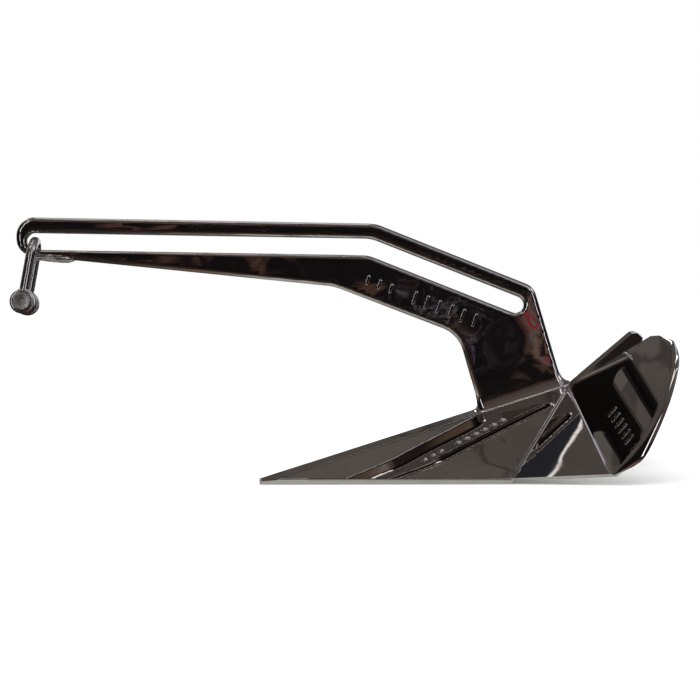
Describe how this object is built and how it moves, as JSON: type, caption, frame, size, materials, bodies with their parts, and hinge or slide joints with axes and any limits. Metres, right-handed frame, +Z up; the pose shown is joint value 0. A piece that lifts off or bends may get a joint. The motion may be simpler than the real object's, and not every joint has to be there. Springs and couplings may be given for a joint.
{
  "type": "boat anchor",
  "caption": "Plough anchor in polished stainless steel with folded fluke blades, a bent slotted shank and a screw-pin shackle in the slot.",
  "frame": {"origin": "on the flat underside of the sole plate, on the centre plane, 130 mm behind the toe", "axes": "+X aft from the toe to the wings, +Y starboard, +Z up from the sole to the shank"},
  "size_m": [0.5153, 0.2506, 0.2205],
  "materials": {
    "polished_steel": "mirror-polished stainless steel",
    "satin_steel": "satin stainless steel",
    "raw_weld": "rough stainless weld bead",
    "shackle_steel": "polished stainless steel",
    "ballast_iron": "dark cast iron"
  },
  "bodies": {
    "anchor": {"toe_point": "polished_steel", "sole_plate": "satin_steel", "ridge_spine": "polished_steel", "port_blade": "polished_steel", "starboard_blade": "polished_steel", "nose_bulkhead": "satin_steel", "nose_ballast": "ballast_iron", "shank_plate": "polished_steel", "shank_weld_port": "polished_steel", "shank_weld_starboard": "polished_steel", "slot_end_weld": "raw_weld"},
    "shackle": {"shackle_bow": "shackle_steel"},
    "pin": {"shackle_pin": "shackle_steel"}
  },
  "joints": [
    {"name": "shackle_swing", "type": "hinge", "parent": "anchor", "child": "shackle", "pos_m": [-0.3008, 0, 0.2013], "axis": [-0.0145, 0.9976, -0.0682], "range_deg": [-66, 222]},
    {"name": "shackle_pin_out", "type": "slide", "parent": "shackle", "child": "pin", "axis": [0.0145, -0.9976, 0.0682], "range_m": [0, 0.04]}
  ]
}
